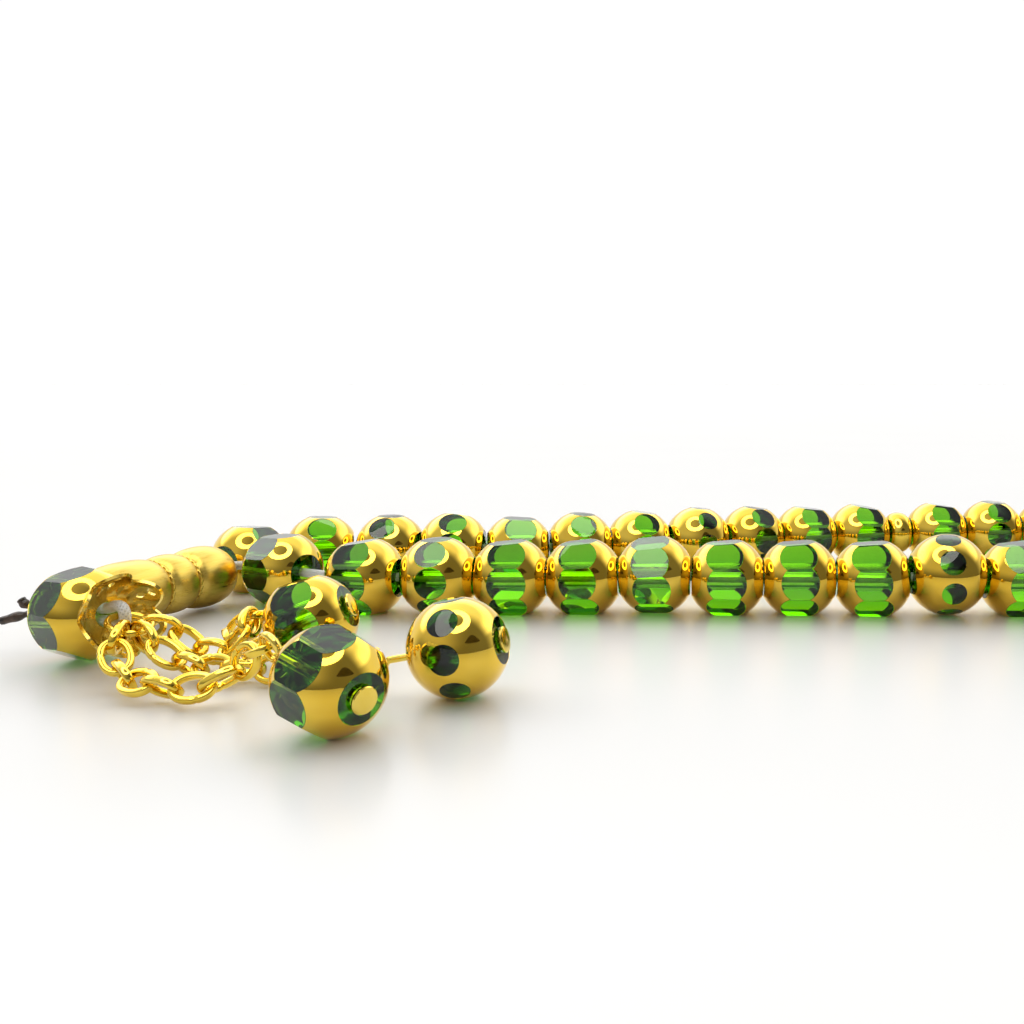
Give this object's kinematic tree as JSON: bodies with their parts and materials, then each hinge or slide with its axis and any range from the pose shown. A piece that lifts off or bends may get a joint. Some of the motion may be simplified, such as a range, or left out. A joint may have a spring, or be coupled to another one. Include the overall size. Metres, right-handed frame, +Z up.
{
  "type": "prayer beads",
  "caption": "Misbaha prayer beads: window-cut gold-plated green glass beads strung in a loop, with a leader bead, flower cup and chain tassel.",
  "frame": {"origin": "on the surface the beads lie on, under the middle of the bounding box", "axes": "+X along the loop away from the tassel, +Z up"},
  "size_m": [0.1628, 0.0914, 0.01],
  "materials": {
    "green_glass": "polished green glass, plated gold outside its windows",
    "divider_gold": "polished gold plating",
    "leader_gold": "satin gold plating with lengthways streaks",
    "string_nylon": "glossy white braided nylon",
    "cup_gold": "bright gold plated pierced sheet",
    "pin_gold": "bright gold plated wire",
    "chain_gold": "bright gold plated flattened wire"
  },
  "bodies": {
    "string": {"string": "string_nylon", "string_knot": "string_nylon"},
    "bead_01": {"bead_01": "green_glass"},
    "bead_02": {"bead_02": "green_glass"},
    "bead_03": {"bead_03": "green_glass"},
    "bead_04": {"bead_04": "green_glass"},
    "bead_05": {"bead_05": "green_glass"},
    "bead_06": {"bead_06": "green_glass"},
    "bead_07": {"bead_07": "green_glass"},
    "bead_08": {"bead_08": "green_glass"},
    "bead_09": {"bead_09": "green_glass"},
    "bead_10": {"bead_10": "green_glass"},
    "bead_11": {"bead_11": "green_glass"},
    "divider_1": {"divider_1": "divider_gold"},
    "bead_12": {"bead_12": "green_glass"},
    "bead_13": {"bead_13": "green_glass"},
    "bead_14": {"bead_14": "green_glass"},
    "bead_15": {"bead_15": "green_glass"},
    "bead_16": {"bead_16": "green_glass"},
    "bead_17": {"bead_17": "green_glass"},
    "bead_18": {"bead_18": "green_glass"},
    "bead_19": {"bead_19": "green_glass"},
    "bead_20": {"bead_20": "green_glass"},
    "bead_21": {"bead_21": "green_glass"},
    "bead_22": {"bead_22": "green_glass"},
    "divider_2": {"divider_2": "divider_gold"},
    "bead_23": {"bead_23": "green_glass"},
    "bead_24": {"bead_24": "green_glass"},
    "bead_25": {"bead_25": "green_glass"},
    "bead_26": {"bead_26": "green_glass"},
    "bead_27": {"bead_27": "green_glass"},
    "bead_28": {"bead_28": "green_glass"},
    "bead_29": {"bead_29": "green_glass"},
    "bead_30": {"bead_30": "green_glass"},
    "bead_31": {"bead_31": "green_glass"},
    "bead_32": {"bead_32": "green_glass"},
    "bead_33": {"bead_33": "green_glass"},
    "leader_bead": {"leader_bead": "leader_gold"},
    "end_bead": {"end_bead": "green_glass"},
    "flower_cup": {"flower_cup": "cup_gold"},
    "tassel_ring": {"tassel_ring": "chain_gold"},
    "chain_a_1": {"chain_a_1": "chain_gold"},
    "chain_a_2": {"chain_a_2": "chain_gold"},
    "chain_a_3": {"chain_a_3": "chain_gold"},
    "pin_a": {"pin_a": "pin_gold"},
    "dangle_a": {"dangle_a": "green_glass"},
    "chain_b_1": {"chain_b_1": "chain_gold"},
    "chain_b_2": {"chain_b_2": "chain_gold"},
    "chain_b_3": {"chain_b_3": "chain_gold"},
    "pin_b": {"pin_b": "pin_gold"},
    "dangle_b": {"dangle_b": "green_glass"},
    "chain_c_1": {"chain_c_1": "chain_gold"},
    "chain_c_2": {"chain_c_2": "chain_gold"},
    "chain_c_3": {"chain_c_3": "chain_gold"},
    "pin_c": {"pin_c": "pin_gold"},
    "dangle_c": {"dangle_c": "green_glass"}
  },
  "joints": [
    {"name": "bead_01_slide", "type": "slide", "parent": "string", "child": "bead_01", "axis": [0.8662, -0.4997, 0], "range_m": [0, 0.0032]},
    {"name": "bead_02_spin", "type": "hinge", "parent": "string", "child": "bead_02", "pos_m": [-0.04775, 0.00308, 0.00439], "axis": [0.9885, -0.1511, 0], "continuous": true},
    {"name": "bead_03_spin", "type": "hinge", "parent": "string", "child": "bead_03", "pos_m": [-0.0385, 0.00254, 0.00459], "axis": [0.9997, 0.0259, 0], "continuous": true},
    {"name": "bead_04_spin", "type": "hinge", "parent": "string", "child": "bead_04", "pos_m": [-0.02964, 0.00277, 0.00439], "axis": [0.9997, 0.0256, 0], "continuous": true},
    {"name": "bead_05_spin", "type": "hinge", "parent": "string", "child": "bead_05", "pos_m": [-0.02072, 0.00288, 0.00439], "axis": [1, 0.0002, 0], "continuous": true},
    {"name": "bead_06_spin", "type": "hinge", "parent": "string", "child": "bead_06", "pos_m": [-0.01179, 0.00277, 0.00472], "axis": [0.9997, -0.0262, 0], "continuous": true},
    {"name": "bead_07_spin", "type": "hinge", "parent": "string", "child": "bead_07", "pos_m": [-0.00289, 0.00261, 0.00439], "axis": [1, -0.0095, 0], "continuous": true},
    {"name": "bead_08_spin", "type": "hinge", "parent": "string", "child": "bead_08", "pos_m": [0.006, 0.0025, 0.00439], "axis": [0.9999, -0.016, 0], "continuous": true},
    {"name": "bead_09_spin", "type": "hinge", "parent": "string", "child": "bead_09", "pos_m": [0.01502, 0.00202, 0.00439], "axis": [0.996, -0.0892, 0], "continuous": true},
    {"name": "bead_10_spin", "type": "hinge", "parent": "string", "child": "bead_10", "pos_m": [0.02409, 0.00161, 0.00499], "axis": [1, 0.0028, 0], "continuous": true},
    {"name": "bead_11_spin", "type": "hinge", "parent": "string", "child": "bead_11", "pos_m": [0.03305, 0.00183, 0.00439], "axis": [0.9991, 0.0433, 0], "continuous": true},
    {"name": "divider_1_spin", "type": "hinge", "parent": "string", "child": "divider_1", "pos_m": [0.03938, 0.00205, 0.0044], "axis": [0.9998, 0.0196, 0], "continuous": true},
    {"name": "bead_12_spin", "type": "hinge", "parent": "string", "child": "bead_12", "pos_m": [0.04567, 0.00218, 0.00439], "axis": [0.9998, 0.0205, 0], "continuous": true},
    {"name": "bead_13_spin", "type": "hinge", "parent": "string", "child": "bead_13", "pos_m": [0.05479, 0.00291, 0.00459], "axis": [0.99, 0.1413, 0], "continuous": true},
    {"name": "bead_14_spin", "type": "hinge", "parent": "string", "child": "bead_14", "pos_m": [0.06383, 0.00515, 0.00439], "axis": [0.9408, 0.339, 0], "continuous": true},
    {"name": "bead_15_spin", "type": "hinge", "parent": "string", "child": "bead_15", "pos_m": [0.07205, 0.01033, 0.00459], "axis": [0.7079, 0.7063, 0], "continuous": true},
    {"name": "bead_16_spin", "type": "hinge", "parent": "string", "child": "bead_16", "pos_m": [0.07669, 0.0191, 0.00439], "axis": [0.176, 0.9844, 0], "continuous": true},
    {"name": "bead_17_spin", "type": "hinge", "parent": "string", "child": "bead_17", "pos_m": [0.07522, 0.02893, 0.00439], "axis": [-0.4476, 0.8942, 0], "continuous": true},
    {"name": "bead_18_spin", "type": "hinge", "parent": "string", "child": "bead_18", "pos_m": [0.06861, 0.03623, 0.00459], "axis": [-0.8451, 0.5346, 0], "continuous": true},
    {"name": "bead_19_spin", "type": "hinge", "parent": "string", "child": "bead_19", "pos_m": [0.05967, 0.03972, 0.00439], "axis": [-0.9803, 0.1973, 0], "continuous": true},
    {"name": "bead_20_spin", "type": "hinge", "parent": "string", "child": "bead_20", "pos_m": [0.05054, 0.04088, 0.00459], "axis": [-0.9987, 0.0516, 0], "continuous": true},
    {"name": "bead_21_spin", "type": "hinge", "parent": "string", "child": "bead_21", "pos_m": [0.0415, 0.04103, 0.00459], "axis": [-0.9998, -0.0196, 0], "continuous": true},
    {"name": "bead_22_spin", "type": "hinge", "parent": "string", "child": "bead_22", "pos_m": [0.0325, 0.04056, 0.00439], "axis": [-0.9964, -0.085, 0], "continuous": true},
    {"name": "divider_2_spin", "type": "hinge", "parent": "string", "child": "divider_2", "pos_m": [0.02614, 0.03992, 0.0044], "axis": [-0.9914, -0.1311, 0], "continuous": true},
    {"name": "bead_23_spin", "type": "hinge", "parent": "string", "child": "bead_23", "pos_m": [0.01982, 0.03883, 0.00439], "axis": [-0.9823, -0.1872, 0], "continuous": true},
    {"name": "bead_24_spin", "type": "hinge", "parent": "string", "child": "bead_24", "pos_m": [0.01099, 0.03674, 0.00439], "axis": [-0.9619, -0.2736, 0], "continuous": true},
    {"name": "bead_25_spin", "type": "hinge", "parent": "string", "child": "bead_25", "pos_m": [0.00237, 0.03387, 0.00459], "axis": [-0.9341, -0.357, 0], "continuous": true},
    {"name": "bead_26_spin", "type": "hinge", "parent": "string", "child": "bead_26", "pos_m": [-0.00613, 0.03092, 0.00474], "axis": [-0.9541, -0.2996, 0], "continuous": true},
    {"name": "bead_27_spin", "type": "hinge", "parent": "string", "child": "bead_27", "pos_m": [-0.01484, 0.02852, 0.00459], "axis": [-0.9731, -0.2305, 0], "continuous": true},
    {"name": "bead_28_spin", "type": "hinge", "parent": "string", "child": "bead_28", "pos_m": [-0.02349, 0.0264, 0.00459], "axis": [-0.9695, -0.245, 0], "continuous": true},
    {"name": "bead_29_spin", "type": "hinge", "parent": "string", "child": "bead_29", "pos_m": [-0.03233, 0.02452, 0.00439], "axis": [-0.9853, -0.1708, 0], "continuous": true},
    {"name": "bead_30_spin", "type": "hinge", "parent": "string", "child": "bead_30", "pos_m": [-0.04145, 0.02357, 0.00485], "axis": [-0.9994, -0.0356, 0], "continuous": true},
    {"name": "bead_31_spin", "type": "hinge", "parent": "string", "child": "bead_31", "pos_m": [-0.05066, 0.02398, 0.00459], "axis": [-0.9931, 0.117, 0], "continuous": true},
    {"name": "bead_32_spin", "type": "hinge", "parent": "string", "child": "bead_32", "pos_m": [-0.06033, 0.02307, 0.00459], "axis": [-0.9492, -0.3146, 0], "continuous": true},
    {"name": "bead_33_spin", "type": "hinge", "parent": "string", "child": "bead_33", "pos_m": [-0.06782, 0.01632, 0.00439], "axis": [-0.3904, -0.9206, 0], "continuous": true},
    {"name": "leader_turn", "type": "hinge", "parent": "string", "child": "leader_bead", "pos_m": [-0.07372, -0.01129, 0.0045], "axis": [0.263, 0.9644, -0.0268], "continuous": true},
    {"name": "end_bead_spin", "type": "hinge", "parent": "string", "child": "end_bead", "pos_m": [-0.06982, -0.01869, 0.00483], "axis": [0.8245, -0.5561, 0.1045], "continuous": true},
    {"name": "cup_spin", "type": "hinge", "parent": "string", "child": "flower_cup", "pos_m": [-0.06584, -0.02137, 0.00533], "axis": [0.8245, -0.5561, 0.1045], "continuous": true},
    {"name": "ring_lift", "type": "hinge", "parent": "string", "child": "tassel_ring", "pos_m": [-0.06397, -0.02264, 0.00557], "axis": [-0.5592, -0.829, 0], "range_deg": [0, 10]},
    {"name": "chain_a_1_lift", "type": "hinge", "parent": "tassel_ring", "child": "chain_a_1", "pos_m": [-0.06227, -0.02503, 0.00463], "axis": [-0.8625, -0.5061, 0], "range_deg": [0, 8]},
    {"name": "chain_a_2_lift", "type": "hinge", "parent": "chain_a_1", "child": "chain_a_2", "pos_m": [-0.05842, -0.03159, 0.00169], "axis": [-0.2574, -0.9663, 0], "range_deg": [0, 8]},
    {"name": "chain_a_3_lift", "type": "hinge", "parent": "chain_a_2", "child": "chain_a_3", "pos_m": [-0.05028, -0.03376, 0.00175], "axis": [-0.35, -0.9367, 0], "range_deg": [0, 8]},
    {"name": "pin_a_lift", "type": "hinge", "parent": "chain_a_3", "child": "pin_a", "pos_m": [-0.04341, -0.03633, 0.00597], "axis": [-0.5803, -0.8144, 0], "range_deg": [0, 10]},
    {"name": "dangle_a_spin", "type": "hinge", "parent": "pin_a", "child": "dangle_a", "pos_m": [-0.04341, -0.03633, 0.00597], "axis": [0.8011, -0.5708, -0.1802], "continuous": true},
    {"name": "chain_b_1_lift", "type": "hinge", "parent": "tassel_ring", "child": "chain_b_1", "pos_m": [-0.06135, -0.02441, 0.00449], "axis": [-0.3406, -0.9402, 0], "range_deg": [0, 8]},
    {"name": "chain_b_2_lift", "type": "hinge", "parent": "chain_b_1", "child": "chain_b_2", "pos_m": [-0.05415, -0.02701, 0.0016], "axis": [-0.1174, -0.9931, 0], "range_deg": [0, 8]},
    {"name": "chain_b_3_lift", "type": "hinge", "parent": "chain_b_2", "child": "chain_b_3", "pos_m": [-0.04564, -0.02802, 0.0016], "axis": [-0.2511, -0.968, 0], "range_deg": [0, 8]},
    {"name": "pin_b_lift", "type": "hinge", "parent": "chain_b_3", "child": "pin_b", "pos_m": [-0.03672, -0.03034, 0.00294], "axis": [-0.1025, -0.9947, 0], "range_deg": [0, 10]},
    {"name": "dangle_b_spin", "type": "hinge", "parent": "pin_b", "child": "dangle_b", "pos_m": [-0.03672, -0.03034, 0.00294], "axis": [0.9744, -0.1005, 0.2009], "continuous": true},
    {"name": "chain_c_1_lift", "type": "hinge", "parent": "tassel_ring", "child": "chain_c_1", "pos_m": [-0.06111, -0.02331, 0.00463], "axis": [-0.0224, -0.9998, 0], "range_deg": [0, 8]},
    {"name": "chain_c_2_lift", "type": "hinge", "parent": "chain_c_1", "child": "chain_c_2", "pos_m": [-0.05339, -0.02349, 0.0021], "axis": [0.9999, -0.0104, 0], "range_deg": [0, 8]},
    {"name": "chain_c_3_lift", "type": "hinge", "parent": "chain_c_2", "child": "chain_c_3", "pos_m": [-0.05333, -0.01789, 0.00383], "axis": [-0.9942, 0.1073, 0], "range_deg": [0, 8]},
    {"name": "pin_c_swing", "type": "hinge", "parent": "chain_c_3", "child": "pin_c", "pos_m": [-0.0536, -0.02043, 0.00158], "axis": [0, 0, 1], "range_deg": [0, 8]},
    {"name": "dangle_c_spin", "type": "hinge", "parent": "pin_c", "child": "dangle_c", "pos_m": [-0.0536, -0.02043, 0.00158], "axis": [0.9326, 0, 0.361], "continuous": true}
  ]
}
